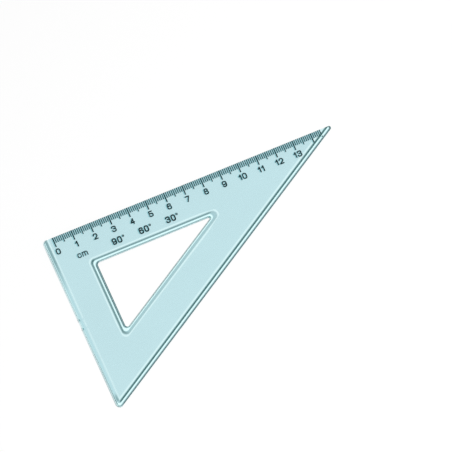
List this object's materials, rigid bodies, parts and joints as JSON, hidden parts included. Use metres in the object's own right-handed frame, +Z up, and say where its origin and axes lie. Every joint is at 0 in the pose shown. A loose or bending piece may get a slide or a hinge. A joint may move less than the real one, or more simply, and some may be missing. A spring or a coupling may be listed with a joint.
{
  "type": "drafting triangle",
  "caption": "Flat clear plastic right-angled drafting triangle with a triangular window, raised rims and a printed centimetre scale along its longer leg.",
  "frame": {"origin": "under the middle of the bounding box, on the flat underside", "axes": "+X runs along the graduated long leg from the square corner to the tip, +Y points out of the graduated edge, +Z points up out of the printed face"},
  "size_m": [0.156, 0.0902, 0.0023],
  "materials": {
    "clear_plastic": "clear, glossy, with a pale cyan tint",
    "ink": "printed, near black, satin"
  },
  "bodies": {
    "root": {"moulded_body": "clear_plastic", "millimetre_marks": "ink", "half_centimetre_marks": "ink", "centimetre_marks": "ink", "numeral_0": "ink", "numeral_1": "ink", "numeral_2": "ink", "numeral_3": "ink", "numeral_4": "ink", "numeral_5": "ink", "numeral_6": "ink", "numeral_7": "ink", "numeral_8": "ink", "numeral_9": "ink", "numeral_10": "ink", "numeral_11": "ink", "numeral_12": "ink", "numeral_13": "ink", "unit_mark": "ink", "angle_legend": "ink"}
  },
  "joints": []
}
